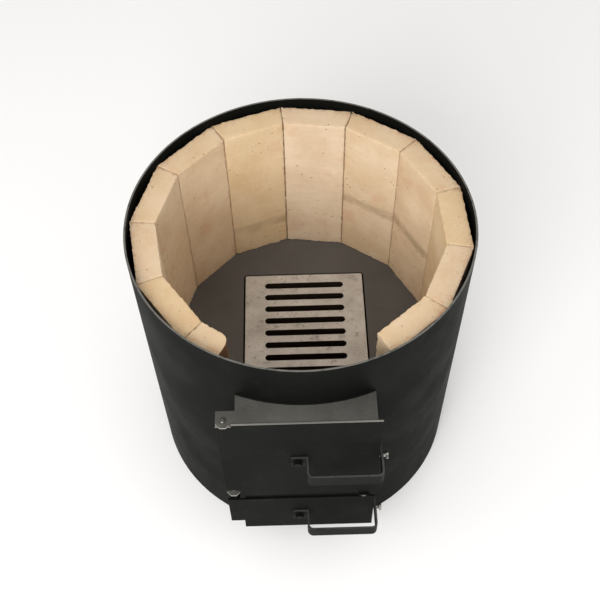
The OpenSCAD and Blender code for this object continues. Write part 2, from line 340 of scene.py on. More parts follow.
def blend_colours(tree: Tree, share: Socket | float, low: object, high: object) -> Socket:
    """Blend two colours.

    Args:
        tree: Node tree to add to.
        share: How much of the second colour shows.
        low: First colour or socket.
        high: Second colour or socket.

    Returns:
        The blended colour.
    """
    node = add_node(tree, "ShaderNodeMix", {0: share, 6: low, 7: high}, data_type="RGBA")
    return node.outputs[2]


def remap(
    tree: Tree,
    source: Socket,
    low: float,
    high: float,
    to: tuple[float, float] = (0.0, 1.0),
) -> Socket:
    """Spread a value from low..high over another range, smoothly and clamped.

    Args:
        tree: Node tree to add to.
        source: Value to spread.
        low: Source value that becomes the first end.
        high: Source value that becomes the second end.
        to: The two ends of the new range.

    Returns:
        The new value.
    """
    inputs = {"Value": source, "From Min": low, "From Max": high, "To Min": to[0], "To Max": to[1]}
    return add_node(tree, "ShaderNodeMapRange", inputs, interpolation_type="SMOOTHSTEP").outputs["Result"]


def noise(
    tree: Tree,
    where: Socket,
    size_mm: float,
    detail: float = 3.0,
    rough: float = 0.55,
) -> Socket:
    """Return a cloudy value whose features are about size_mm across."""
    inputs = {"Vector": where, "Scale": per_mm(size_mm), "Detail": detail, "Roughness": rough}
    return add_node(tree, "ShaderNodeTexNoise", inputs).outputs["Fac"]


def cells(tree: Tree, where: Socket, size_mm: float) -> Socket:
    """Return the distance to the nearest of scattered points about size_mm apart."""
    inputs = {"Vector": where, "Scale": per_mm(size_mm)}
    return add_node(tree, "ShaderNodeTexVoronoi", inputs).outputs["Distance"]


def maths(
    tree: Tree,
    one: Socket | float,
    two: Socket | float,
    how: str = "MULTIPLY",
) -> Socket:
    """Combine two values, by default by multiplying them."""
    return add_node(tree, "ShaderNodeMath", {0: one, 1: two}, operation=how).outputs["Value"]


@dataclass(frozen=True)
class Finish:
    """A surface: what it is made of and how it was made.

    Attributes:
        name: Name of the material.
    """

    name: str

    def material(self) -> bpy.types.Material:
        """Make this finish's material, once.

        Returns:
            The material.
        """
        made = bpy.data.materials.get(self.name)
        if made is not None:
            return made
        made = bpy.data.materials.new(self.name)
        made.use_nodes = True
        tree = made.node_tree
        shader = tree.nodes["Principled BSDF"]
        where = add_node(tree, "ShaderNodeTexCoord").outputs["Object"]
        self.fill(tree, shader, where)
        return made

    def fill(self, tree: Tree, shader: Node, where: Socket) -> None:
        """Build the finish's nodes.

        Args:
            tree: The material's node tree.
            shader: Its Principled shader.
            where: Object coordinates in metres.
        """
        raise NotImplementedError

    @staticmethod
    def bump(
        tree: Tree,
        shader: Node,
        height: Socket,
        depth_mm: float,
        strength: float,
    ) -> None:
        """Raise the surface by a height value.

        Args:
            tree: The material's node tree.
            shader: Its Principled shader.
            height: Height from 0 to 1.
            depth_mm: Real height of a full step.
            strength: How strongly it shades.
        """
        inputs = {"Height": height, "Distance": depth_mm * MM, "Strength": strength}
        bumped = add_node(tree, "ShaderNodeBump", inputs)
        tree.links.new(bumped.outputs["Normal"], shader.inputs["Normal"])


@dataclass(frozen=True)
class StovePaint(Finish):
    """Matt heat-resistant silicone paint, sprayed on sheet steel.

    It dries to a dry, slightly sandy film: dark, with soft broad highlights and faint
    lighter overspray and handling marks. The same film in dark browner tones is painted
    shade on the walls of the grate's slots and on the ash floor.

    Attributes:
        deep: Darkest tone of the film.
        pale: Lightest tone of the film.
        dust: Tone of the overspray and rubbed places.
        dust_share: How much of it shows at most.
        gloss: Lowest and highest roughness.
        sheen_level: Strength of its surface reflection; 0.5 leaves it as its index of refraction gives it.
        cloud_mm: Size of the film's clouds.
        rub_mm: Size of the rubbed places.
        speckle_mm: Size of the overspray's specks.
        peel_mm: Size of the orange peel. The real one is about 0.5 mm; it is drawn coarser so that it shows.
        peel_deep_mm: Depth of the orange peel.
    """

    deep: str = "#0b0c0a"
    pale: str = "#10110e"
    dust: str = "#3c3b37"
    dust_share: float = 0.08
    gloss: tuple[float, float] = (0.55, 0.7)
    sheen_level: float = 0.05
    cloud_mm: float = 90
    rub_mm: float = 26
    speckle_mm: float = 1.6
    peel_mm: float = 1.4
    peel_deep_mm: float = 0.12

    def fill(self, tree: Tree, shader: Node, where: Socket) -> None:
        """Build a mottled film with overspray grain.

        Args:
            tree: The material's node tree.
            shader: Its Principled shader.
            where: Object coordinates in metres.
        """
        clouds = noise(tree, where, self.cloud_mm, 4)
        film = ramp(tree, clouds, [(0.3, linear(self.deep)), (0.72, linear(self.pale))])
        rubbed = remap(tree, noise(tree, where, self.rub_mm, 5, 0.7), 0.5, 0.78)
        speckle = remap(tree, noise(tree, where, self.speckle_mm, 2), 0.6, 0.75)
        for marks in (rubbed, speckle):
            film = blend_colours(tree, maths(tree, marks, self.dust_share), film, linear(self.dust))
        tree.links.new(film, shader.inputs["Base Color"])
        tree.links.new(remap(tree, clouds, 0.3, 0.7, self.gloss), shader.inputs["Roughness"])
        shader.inputs["Specular IOR Level"].default_value = self.sheen_level
        self.bump(tree, shader, noise(tree, where, self.peel_mm, 2), self.peel_deep_mm, 0.22)


@dataclass(frozen=True)
class CutEdge(Finish):
    """Edge of cold-rolled steel sheet, cut after painting or rubbed bare in use.

    It gives a thin pale line, broken where paint still clings.

    Attributes:
        steel: Tone of the bare metal.
        paint: Tone of the paint left on it.
        bare: Pattern value around which the metal begins to show.
        patch_mm: Size of the bare patches.
        burr_mm: Size of the cut's burrs.
        burr_deep_mm: Height of the burrs.
    """

    steel: str = "#b9b5ab"
    paint: str = "#4a4945"
    bare: float = 0.45
    patch_mm: float = 14
    burr_mm: float = 1.2
    burr_deep_mm: float = 0.08

    def fill(self, tree: Tree, shader: Node, where: Socket) -> None:
        """Build bare metal with remains of paint.

        Args:
            tree: The material's node tree.
            shader: Its Principled shader.
            where: Object coordinates in metres.
        """
        patches = noise(tree, where, self.patch_mm, 4, 0.65)
        rubbed = remap(tree, patches, self.bare - 0.1, self.bare + 0.08)
        edge = blend_colours(tree, rubbed, linear(self.paint), linear(self.steel))
        tree.links.new(edge, shader.inputs["Base Color"])
        tree.links.new(maths(tree, rubbed, 0.7), shader.inputs["Metallic"])
        tree.links.new(remap(tree, rubbed, 0, 1, (0.6, 0.42)), shader.inputs["Roughness"])
        self.bump(tree, shader, noise(tree, where, self.burr_mm, 2), self.burr_deep_mm, 0.2)


@dataclass(frozen=True)
class FixingSteel(Finish):
    """Turned and zinc-plated mild steel of rods, bolts, nuts and washers.

    It gives small grey highlights, dulled by heat and handling.

    Attributes:
        steel: Tone of the metal.
        tarnish: Tone of its dull places.
        dull_mm: Size of the dull places.
        mark_mm: Size of the turning marks.
        mark_deep_mm: Depth of the turning marks.
    """

    steel: str = "#a5a39c"
    tarnish: str = "#5e5a54"
    dull_mm: float = 6
    mark_mm: float = 0.8
    mark_deep_mm: float = 0.05

    def fill(self, tree: Tree, shader: Node, where: Socket) -> None:
        """Build metal with dull spots and turning marks.

        Args:
            tree: The material's node tree.
            shader: Its Principled shader.
            where: Object coordinates in metres.
        """
        dull = remap(tree, noise(tree, where, self.dull_mm, 4), 0.42, 0.68)
        metal = blend_colours(tree, dull, linear(self.steel), linear(self.tarnish))
        tree.links.new(metal, shader.inputs["Base Color"])
        shader.inputs["Metallic"].default_value = 1.0
        tree.links.new(remap(tree, dull, 0, 1, (0.34, 0.55)), shader.inputs["Roughness"])
        self.bump(tree, shader, noise(tree, where, self.mark_mm, 2), self.mark_deep_mm, 0.25)


@dataclass(frozen=True)
class CastIron(Finish):
    """Grey iron cast in sand, raw and unused.

    The sand leaves a grainy skin, pale grey-brown with darker scale and small pits.

    Attributes:
        skin: Main tone.
        pale: Tone of the high places.
        scale: Tone of the dark scale and pits.
        cloud_mm: Size of the skin's clouds.
        scale_mm: Size of the scale's flakes.
        pit_mm: Distance between pits.
        pit_patch_mm: Size of the patches that have pits.
        sand_mm: Size of the grain. Moulding sand is about 0.3 mm; it is drawn coarser so that it shows.
        sand_deep_mm: Depth of the grain.
    """

    skin: str = "#bbb6ae"
    pale: str = "#d6d2cb"
    scale: str = "#78726a"
    cloud_mm: float = 38
    scale_mm: float = 11
    pit_mm: float = 5
    pit_patch_mm: float = 24
    sand_mm: float = 1.1
    sand_deep_mm: float = 0.35

    def fill(self, tree: Tree, shader: Node, where: Socket) -> None:
        """Build grainy iron with scale and pits.

        Args:
            tree: The material's node tree.
            shader: Its Principled shader.
            where: Object coordinates in metres.
        """
        clouds = noise(tree, where, self.cloud_mm, 5, 0.6)
        skin = ramp(tree, clouds, [(0.32, linear(self.skin)), (0.68, linear(self.pale))])
        scale = maths(tree, remap(tree, noise(tree, where, self.scale_mm, 5, 0.7), 0.52, 0.72), 0.6)
        pits = remap(tree, cells(tree, where, self.pit_mm), 0.24, 0.1)
        pits = maths(tree, pits, remap(tree, noise(tree, where, self.pit_patch_mm, 2), 0.48, 0.6))
        for marks in (scale, maths(tree, pits, 0.7)):
            skin = blend_colours(tree, marks, skin, linear(self.scale))
        tree.links.new(skin, shader.inputs["Base Color"])
        shader.inputs["Metallic"].default_value = 0.2
        tree.links.new(remap(tree, scale, 0, 0.6, (0.56, 0.74)), shader.inputs["Roughness"])
        sand = noise(tree, where, self.sand_mm, 3)
        grain = maths(tree, sand, maths(tree, pits, 0.8), "SUBTRACT")
        self.bump(tree, shader, grain, self.sand_deep_mm, 0.4)


@dataclass(frozen=True)
class Fireclay(Finish):
    """Pressed and fired chamotte slab.

    The coarse grog shows as pale and brown grains, the face has pores and drag marks,
    and the firing leaves pink-orange clouds towards the edges.

    Attributes:
        shift: Place of this slab in the pattern, so that no two slabs match.
        tan: Darker ground tone.
        cream: Lighter ground tone.
        blush: Tone of the fired clouds.
        blush_from: Noise value from which the clouds start.
        band_z: Height in metres of a soft dark level band, or 0 for none.
        grog: Tone of the pale grains.
        pore: Tone of the pores and the darkest grains.
        band_tone: Tone of the dark band.
        top_shade: Tone blended onto the faces that look up to darken them: painted shade that tones down the
            light they get from above.
        cloud_mm: Size of the ground's clouds.
        blush_mm: Size of the fired clouds.
        fired_mm: Size of the fired patches at the ring's outer edge.
        grog_mm: Distance between pale grains.
        fine_mm: Size of the fine grog. The finest is under 1 mm; it is drawn coarser so that it shows.
        fine_deep_mm: Depth of the fine grog and the pores.
        rim: Distances from the stove's axis in metres where the fired patches start and are full.
    """

    shift: float = 0.0
    tan: str = "#cfb799"
    cream: str = "#dfcbb0"
    blush: str = "#d6a582"
    blush_from: float = 0.56
    band_z: float = 0.0
    grog: str = "#e8dac4"
    pore: str = "#9b7f60"
    band_tone: str = "#a58a6b"
    top_shade: str = "#b8976f"
    cloud_mm: float = 70
    blush_mm: float = 48
    fired_mm: float = 16
    grog_mm: float = 7.5
    fine_mm: float = 1.8
    fine_deep_mm: float = 0.7
    rim: tuple[float, float] = (0.222, 0.242)

    def fill(self, tree: Tree, shader: Node, where: Socket) -> None:
        """Build clay with clouds, grog, pores, drag marks and a dark band.

        Args:
            tree: The material's node tree.
            shader: Its Principled shader.
            where: Object coordinates in metres.
        """
        shifted = {"Vector": where, "Location": (self.shift, -self.shift, 0)}
        place = add_node(tree, "ShaderNodeMapping", shifted).outputs["Vector"]
        clouds = noise(tree, place, self.cloud_mm, 5, 0.6)
        clay = ramp(tree, clouds, [(0.34, linear(self.tan)), (0.66, linear(self.cream))])
        rim = self.near_rim(tree, where)
        warm = remap(tree, noise(tree, place, self.blush_mm, 3), self.blush_from, self.blush_from + 0.14)
        fired = maths(tree, rim, remap(tree, noise(tree, place, self.fired_mm, 4, 0.65), 0.46, 0.66))
        pale = remap(tree, cells(tree, place, self.grog_mm), 0.22, 0.1)
        pores = self.pores(tree, place, rim)
        fine = noise(tree, place, self.fine_mm, 3, 0.7)
        layers = [
            (maths(tree, warm, 0.4), self.blush),
            (maths(tree, fired, 0.75), self.blush),
            (self.drag_marks(tree, place), self.tan),
            (maths(tree, pale, 0.55), self.grog),
            (maths(tree, pores, 0.85), self.pore),
        ]
        if self.band_z:
            layers.append((self.dark_band(tree, where), self.band_tone))
        # Painted shade: the faces that look up are blended towards a darker, browner tone.
        layers.append((maths(tree, self.on_top(tree), 0.35), self.top_shade))
        layers.append((maths(tree, remap(tree, fine, 0.55, 0.75), 0.25), self.pore))
        for share, tone in layers:
            clay = blend_colours(tree, share, clay, linear(tone))
        tree.links.new(clay, shader.inputs["Base Color"])
        shader.inputs["Roughness"].default_value = 0.92
        shader.inputs["Specular IOR Level"].default_value = 0.25
        self.bump(tree, shader, maths(tree, fine, pores, "SUBTRACT"), self.fine_deep_mm, 0.5)

    def near_rim(self, tree: Tree, where: Socket) -> Socket:
        """Find the ring's outer edge, where the kiln's fire bit.

        Args:
            tree: The material's node tree.
            where: Object coordinates in metres.

        Returns:
            1 at the outer edge and 0 further in.
        """
        flat = add_node(tree, "ShaderNodeMapping", {"Vector": where, "Scale": (1, 1, 0)}).outputs["Vector"]
        reach = add_node(tree, "ShaderNodeVectorMath", {0: flat}, operation="LENGTH").outputs["Value"]
        return remap(tree, reach, *self.rim)

    @staticmethod
    def pores(tree: Tree, place: Socket, rim: Socket) -> Socket:
        """Scatter pores over the faces, and closer ones at the ring's outer edge.

        Args:
            tree: The material's node tree.
            place: Shifted coordinates in metres.
            rim: 1 at the ring's outer edge.

        Returns:
            1 in a pore and 0 beside it.
        """
        spots = remap(tree, cells(tree, place, 11), 0.17, 0.07)
        spread = maths(tree, spots, remap(tree, noise(tree, place, 30, 2), 0.45, 0.58))
        at_rim = maths(tree, rim, remap(tree, cells(tree, place, 5), 0.3, 0.14))
        return maths(tree, spread, maths(tree, at_rim, 0.7), "MAXIMUM")

    @staticmethod
    def on_top(tree: Tree) -> Socket:
        """Find the faces that look up, which get the painted shade.

        Args:
            tree: The material's node tree.

        Returns:
            1 on those faces and 0 elsewhere.
        """
        normal = add_node(tree, "ShaderNodeTexCoord").outputs["Normal"]
        up = add_node(tree, "ShaderNodeSeparateXYZ", {"Vector": normal}).outputs["Z"]
        return remap(tree, up, 0.6, 0.9)

    @staticmethod
    def drag_marks(tree: Tree, place: Socket) -> Socket:
        """Return faint level streaks left by the press."""
        flat = add_node(tree, "ShaderNodeMapping", {"Vector": place, "Scale": (1, 1, 7)}).outputs["Vector"]
        return maths(tree, remap(tree, noise(tree, flat, 40, 4, 0.6), 0.5, 0.7), 0.35)

    def dark_band(self, tree: Tree, where: Socket) -> Socket:
        """Draw a soft, broken, dark level band at the band's height.

        Args:
            tree: The material's node tree.
            where: Object coordinates in metres.

        Returns:
            How strongly the band shows.
        """
        height = add_node(tree, "ShaderNodeSeparateXYZ", {"Vector": where}).outputs["Z"]
        wavy = maths(tree, maths(tree, noise(tree, where, 90, 3), 0.03), height, "ADD")
        off = maths(tree, wavy, self.band_z + 0.015, "SUBTRACT")
        near = remap(tree, maths(tree, off, 0.0, "ABSOLUTE"), 0.014, 0.003)
        return maths(tree, near, remap(tree, noise(tree, where, 45, 3), 0.35, 0.65, (0.15, 0.6)))


@dataclass(frozen=True)
class StudioSweep(Finish):
    """Plain matt paper under the stove.

    Attributes:
        tone: Colour of the paper.
        fibre: Linear grey level of its fibres.
    """

    tone: str = "#fcfbf9"
    fibre: float = 0.8

    def fill(self, tree: Tree, shader: Node, where: Socket) -> None:
        """Build an even pale surface with a barely visible tooth.

        Args:
            tree: The material's node tree.
            shader: Its Principled shader.
            where: Object coordinates in metres.
        """
        tooth = maths(tree, noise(tree, where, 3, 2), 0.02)
        fibres = (self.fibre, self.fibre, self.fibre, 1)
        paper = blend_colours(tree, tooth, linear(self.tone), fibres)
        tree.links.new(paper, shader.inputs["Base Color"])
        shader.inputs["Roughness"].default_value = 0.95
        shader.inputs["Specular IOR Level"].default_value = 0.1


SHELL_PAINT = StovePaint("shell_heat_paint")
FLOOR_PAINT = StovePaint("floor_heat_paint", "#555351", "#62605d", "#6d6862", 0.2, (0.55, 0.7), 0.3)
# Paler paint for the faces that look up on the neck's top plate and middle ear: painted light from above;
# its dust marks are real.
TOP_PAINTED_LIGHT = StovePaint("top_face_painted_light", "#44423d", "#575550", "#75726b", 0.3, (0.5, 0.66), 0.35)
HANDLE_PAINT = StovePaint("handle_heat_paint", "#0c0d0b", "#11120f", "#33322e", 0.1, (0.45, 0.6), 0.06)
RIM_EDGE = CutEdge("rim_cut_edge", "#77746d", "#42413d", 0.43)
DOOR_EDGE = CutEdge("door_cut_edge", "#9a978f", "#66635c", 0.32)
EAR_EDGE = CutEdge("ear_cut_edge", "#9c9991", "#5e5c56", 0.38)
# Lighter grey for the top edges of the strip handles, which are painted like the rest: painted highlight.
STRIP_TOP_HIGHLIGHT = CutEdge("strip_top_painted_highlight", "#5a5953", "#30302c", 0.46)
FIXING_STEEL = FixingSteel("fixing_steel")
ROD_STEEL = FixingSteel("rod_steel", "#7d7a73", "#4b4843")
GREY_IRON = CastIron("sand_cast_iron")
# Dark brown for the walls of the grate's slots: painted shade.
SLOT_PAINTED_SHADE = StovePaint("slot_painted_shade", "#2b241c", "#3b3126", "#4a3e30", 0.2, (0.75, 0.9), 0.05)
# Dark brown for the ash floor under the grate: painted shade.
ASH_FLOOR = StovePaint("ash_floor_painted_shade", "#2b1f16", "#3d2a1c", "#514032", 0.3, (0.7, 0.85), 0.1)
DUST_CLAY = Fireclay("fireclay_dust", 2.3, "#d3bb9b", "#e2cdb0")
# Darker clay for the end face of the slab left of the neck: painted shade.
END_FACE_SHADE_CLAY = Fireclay("fireclay_end_painted_shade", 4.1, "#7d5a40", "#946d50", "#6d4a33", 0.5, 0.0, "#b39372", "#4f3626")
SWEEP = StudioSweep("studio_sweep")


# ---------------------------------------------------------------- sub-assemblies


@dataclass
class SheetPiece:
    """A cut or bent steel piece that follows its CAD node, with its edges broken.

    Attributes:
        node: CAD node it stands for.
        finish: Its main finish.
        edge_mm: Width of the broken edge.
        steps: Segments across the broken edge.
        top: Finish of the faces that look up, if they differ.
        front: Finish of the faces that look to the front, if they differ.
    """

    node: str
    finish: Finish
    edge_mm: float = 0.35
    steps: int = 2
    top: Finish | None = None
    front: Finish | None = None

    def build(self) -> Piece:
        """Make the piece and let it stand for its node.

        Returns:
            The finished piece.
        """
        piece = merged_copy(self.node, f"{self.node}_finished")
        finish_with(
            piece, "BEVEL", width=self.edge_mm * MM, segments=self.steps, limit_method="ANGLE",
            angle_limit=math.radians(40), use_clamp_overlap=True, harden_normals=False,
        )
        smooth_by_angle(piece)
        settle_normals(piece)
        dress(piece, self.finish.material())
        if self.top is not None:
            dress_faces(piece, self.top.material(), faces_up)
        if self.front is not None:
            dress_faces(piece, self.front.material(), faces_front)
        stand_for(piece, self.node)
        return piece


@dataclass
class Shell:
    """The rolled steel shell with its neck opening and the weld down its back.

    Attributes:
        facets: Sides of the round shell.
        sheet_mm: Thickness of the sheet.
        edge_mm: Width of the broken edge at the rim.
        weld_turn: Place of the weld, in degrees from +X.
        weld_mm: Width of the weld bead.
        weld_high_mm: Height of the bead.
        weld_sides: Sides of the round rod that the bead is halved from.
        weld_levels: Levels that it is divided into, so that it can ripple.
        weld_end_mm: Length without weld at each end.
        weld_sink_mm: How far its flat side lies inside the sheet.
        ripple_mm: Length of its ripples.
        ripple_high_mm: Height of its ripples.
    """

    facets: int = 256
    sheet_mm: float = 3.0
    edge_mm: float = 0.5
    weld_turn: float = 62.0
    weld_mm: float = 7.0
    weld_high_mm: float = 1.1
    weld_sides: int = 16
    weld_levels: int = 150
    weld_end_mm: float = 4.0
    weld_sink_mm: float = 0.2
    ripple_mm: float = 4.0
    ripple_high_mm: float = 0.5

    def build(self) -> None:
        """Make the shell and its weld."""
        low, high = (Vector(corner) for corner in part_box("shell"))
        radius = (high.x - low.x) / 2
        self.build_tube(radius, low.z, high.z)
        self.build_weld(radius, low.z, high.z)

    def build_tube(self, radius: float, bottom: float, top: float) -> None:
        """Make the tube with its cut-out.

        Args:
            radius: Outside radius.
            bottom: Height of the lower edge.
            top: Height of the rim.
        """
        bpy.ops.mesh.primitive_cylinder_add(
            vertices=self.facets, radius=radius, depth=top - bottom, end_fill_type="NOTHING",
            location=(0, 0, (top + bottom) / 2),
        )
        tube = bpy.context.active_object
        tube.name = "shell_finished"
        bpy.ops.object.transform_apply(location=True, rotation=True, scale=True)
        with editing(tube, "FACE", "SELECT"):
            bpy.ops.mesh.normals_make_consistent(inside=False)
        finish_with(tube, "SOLIDIFY", thickness=self.sheet_mm * MM, offset=-1.0)
        self.cut_neck(tube, radius)
        finish_with(
            tube, "BEVEL", width=self.edge_mm * MM, segments=2, limit_method="ANGLE",
            angle_limit=math.radians(50), use_clamp_overlap=False,
        )
        smooth_by_angle(tube)
        settle_normals(tube)
        dress(tube, SHELL_PAINT.material())
        rim = top - MM
        dress_faces(tube, RIM_EDGE.material(), lambda middle, normal: middle.z > rim and normal.z > 0.5)
        stand_for(tube, "shell")

    def cut_neck(self, tube: Piece, radius: float) -> None:
        """Cut the opening that the neck covers.

        Args:
            tube: The solid tube.
            radius: Its outside radius.
        """
        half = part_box("neck_right_side")[0][0]
        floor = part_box("neck_bottom")[1][2]
        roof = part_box("neck_top")[0][2]
        depth = radius / 2
        bpy.ops.mesh.primitive_cube_add(size=1, location=(0, -radius, (floor + roof) / 2))
        cutter = bpy.context.active_object
        cutter.scale = (2 * half, depth, roof - floor)
        bpy.ops.object.transform_apply(location=True, rotation=True, scale=True)
        finish_with(tube, "BOOLEAN", operation="DIFFERENCE", solver="EXACT", object=cutter)
        bpy.data.objects.remove(cutter)

    def build_weld(self, radius: float, bottom: float, top: float) -> None:
        """Lay the painted weld bead where the rolled sheet's ends meet.

        Args:
            radius: Outside radius of the shell.
            bottom: Height of the lower edge.
            top: Height of the rim.
        """
        length = top - bottom - 2 * self.weld_end_mm * MM
        bpy.ops.mesh.primitive_cylinder_add(
            vertices=self.weld_sides, radius=self.weld_mm * MM / 2, depth=length,
            location=(0, 0, (top + bottom) / 2),
        )
        bead = bpy.context.active_object
        bead.name = "shell_weld"
        with editing(bead, "FACE", "SELECT"):
            bpy.ops.mesh.bisect(plane_co=(0, 0, 0), plane_no=(1, 0, 0), clear_inner=True, use_fill=True)
        for level in range(1, self.weld_levels):
            height = bottom + self.weld_end_mm * MM + length * level / self.weld_levels
            with editing(bead, "FACE", "SELECT"):
                bpy.ops.mesh.bisect(plane_co=(0, 0, height - (top + bottom) / 2), plane_no=(0, 0, 1))
        bead.scale = (self.weld_high_mm / (self.weld_mm / 2), 1, 1)
        bpy.ops.object.transform_apply(location=True, rotation=False, scale=True)
        roughen(bead, self.ripple_mm, self.ripple_high_mm, 0.6)
        onto_sheet = Matrix.Translation((radius - self.weld_sink_mm * MM, 0, 0))
        bead.data.transform(Matrix.Rotation(math.radians(self.weld_turn), 4, "Z") @ onto_sheet)
        smooth_by_angle(bead, 60)
        dress(bead, SHELL_PAINT.material())
        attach(bead, BODY_OF["shell"])


@dataclass
class Slab:
    """One fireclay slab: crisp pressed edges that crumble here and there.

    Attributes:
        node: CAD node it stands for.
        finish: Its clay.
        knocks: Places where a lump broke off: x, y, z and radius in millimetres.
        round_mm: Radius of the upright inner edge beside the neck, if it is worn round.
        cell_mm: Size of the mesh's cells.
        arris_mm: Width of the pressed edge's bevel.
        crumble_mm: How deep an edge crumbles at most.
        reach_mm: How far from an edge it crumbles.
        wave_mm: How uneven the faces are.
        knock_mm: How deep a knock is at most.
        long_mm: Length from which an edge is divided into cells.
        wear_grain_mm: Size of the crumbled places.
        wave_grain_mm: Length of the faces' waves.
        knock_grain_mm: Size of the lumps in a knock.
        knock_spread: How far a knock fades out, as a share of its radius.
    """

    node: str
    finish: Fireclay
    knocks: list[tuple[float, float, float, float]] = field(default_factory=list)
    round_mm: float = 0.0
    cell_mm: float = 2.6
    arris_mm: float = 0.5
    crumble_mm: float = 1.5
    reach_mm: float = 4.0
    wave_mm: float = 0.35
    knock_mm: float = 3.0
    long_mm: float = 6.0
    wear_grain_mm: float = 5.0
    wave_grain_mm: float = 22.0
    knock_grain_mm: float = 3.0
    knock_spread: float = 1.5

    def build(self) -> list[tuple[Vector, Vector]]:
        """Make the slab.

        Returns:
            Middle and normal of each of its six plain faces.
        """
        slab = merged_copy(self.node, f"{self.node}_finished")
        planes = face_planes(slab)
        middle = mean_point(slab.data)
        out = Vector((middle.x, middle.y, 0)).normalized()
        mouth = max(planes, key=lambda plane: plane[1].x * -math.copysign(1, middle.x))
        if self.round_mm:
            self.wear_round(slab, middle)
        finish_with(
            slab, "BEVEL", width=self.arris_mm * MM, segments=1, limit_method="ANGLE",
            angle_limit=math.radians(60),
        )
        self.lay_grid(slab, out)
        self.crumble(slab, planes)
        self.knock_off(slab)
        smooth_by_angle(slab, 40)
        dress(slab, self.finish.material())
        # The end face towards the neck gets the darker clay: painted shade.
        if self.round_mm:
            dress_faces(slab, END_FACE_SHADE_CLAY.material(), lambda _middle, normal: normal.dot(mouth[1]) > 0.75)
        stand_for(slab, self.node)
        return planes

    def wear_round(self, slab: Piece, middle: Vector) -> None:
        """Round the upright edge that is nearest to the stove's middle and to the neck.

        Args:
            slab: The plain slab.
            middle: Its middle.
        """
        to_mouth = -math.copysign(1, middle.x)
        corners = (vertex.co.xy for vertex in slab.data.vertices)
        aim = max(corners, key=lambda corner: corner.x * to_mouth + corner.y)

        def at_corner(one: Vector, two: Vector) -> bool:
            """Pick the upright edge at the corner."""
            return (one.xy - two.xy).length < MM and (one.xy - aim).length < MM

        select_edges(slab, at_corner)
        with editing(slab, "EDGE", "KEEP"):
            bpy.ops.mesh.bevel(offset=self.round_mm * MM, segments=6, profile=0.5)

    def lay_grid(self, slab: Piece, out: Vector) -> None:
        """Divide the slab into even cells along its height, width and depth.

        Args:
            slab: The bevelled slab.
            out: Direction away from the stove's middle.
        """
        directions = [Vector((0, 0, 1)), Vector((-out.y, out.x, 0)), out]
        least = self.long_mm * MM
        for direction in directions:

            def runs_along(one: Vector, two: Vector) -> bool:
                """Pick the long edges that run mostly along this direction."""
                step = two - one
                return step.length > least and max(directions, key=lambda to: abs(step.dot(to))) is direction

            if not select_edges(slab, runs_along):
                continue
            mesh = slab.data
            longest = max(
                (mesh.vertices[e.vertices[0]].co - mesh.vertices[e.vertices[1]].co).length
                for e in mesh.edges if e.select
            )
            with editing(slab, "EDGE", "KEEP"):
                bpy.ops.mesh.subdivide(number_cuts=int(longest / (self.cell_mm * MM)))

    def crumble(self, slab: Piece, planes: list[tuple[Vector, Vector]]) -> None:
        """Wear the slab's edges and make its faces uneven, always inwards.

        Args:
            slab: The slab with its grid.
            planes: Middle and normal of its plain faces.
        """
        edges = slab.vertex_groups.new(name="edges")
        reach = self.reach_mm * MM
        for vertex in slab.data.vertices:
            depths = sorted((middle - vertex.co).dot(normal) for middle, normal in planes)
            near = max(0.0, 1 - depths[1] / reach)
            if near:
                edges.add([vertex.index], near * near, "REPLACE")
        roughen(slab, self.wear_grain_mm, self.crumble_mm, 0.85, "edges", 2.5)
        slab.vertex_groups.clear()
        roughen(slab, self.wave_grain_mm, self.wave_mm, 1.0)

    def knock_off(self, slab: Piece) -> None:
        """Break the knocked lumps off the slab, by sinking its surface around each place.

        Args:
            slab: The slab with its grid.
        """
        if not self.knocks:
            return
        knocked = slab.vertex_groups.new(name="knocked")
        for vertex in slab.data.vertices:
            near = max(
                1 - (vertex.co / MM - Vector(knock[:3])).length / (knock[3] * self.knock_spread)
                for knock in self.knocks
            )
            if near > 0:
                knocked.add([vertex.index], near, "REPLACE")
        roughen(slab, self.knock_grain_mm, self.knock_mm, 1.0, "knocked")
        slab.vertex_groups.clear()


@dataclass
class JointDust:
    """Fireclay dust that fills a joint, a little back from the slabs' faces.

    Attributes:
        thick_mm: Thickness of the fill.
        back_mm: How far it lies back from the slabs' faces.
        cell_mm: Size of the mesh's cells.
        ragged_mm: How ragged it is.
        ragged_grain_mm: Size of the ragged places.
    """

    thick_mm: float = 0.7
    back_mm: float = 0.4
    cell_mm: float = 3.0
    ragged_mm: float = 0.9
    ragged_grain_mm: float = 6.0

    def build(self, number: int, middle: Vector, normal: Vector, depth: float, height: float) -> None:
        """Fill one joint.

        Args:
            number: Number of the slab before the joint.
            middle: Middle of the joint.
            normal: Direction across the joint.
            depth: Depth of the slabs along the joint.
            height: Height of the slabs.
        """
        bpy.ops.mesh.primitive_cube_add(size=1)
        fill = bpy.context.active_object
        fill.name = f"joint_dust_{number:02d}"
        inset = 2 * self.back_mm * MM
        fill.scale = (self.thick_mm * MM, depth - inset, height - inset / 2)
        bpy.ops.object.transform_apply(location=True, rotation=True, scale=True)
        for axis, length in ((2, height), (1, depth)):
            select_edges(fill, lambda one, two: abs((two - one)[axis]) > (two - one).length * 0.9)
            with editing(fill, "EDGE", "KEEP"):
                bpy.ops.mesh.subdivide(number_cuts=int(length / (self.cell_mm * MM)))
        turn = math.atan2(normal.y, normal.x)
        place = Matrix.Translation(middle - Vector((0, 0, inset / 4))) @ Matrix.Rotation(turn, 4, "Z")
        fill.data.transform(place)
        roughen(fill, self.ragged_grain_mm, self.ragged_mm, 0.8)
        smooth_by_angle(fill, 40)
        dress(fill, DUST_CLAY.material())
        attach(fill, BODY_OF["brick_01"])


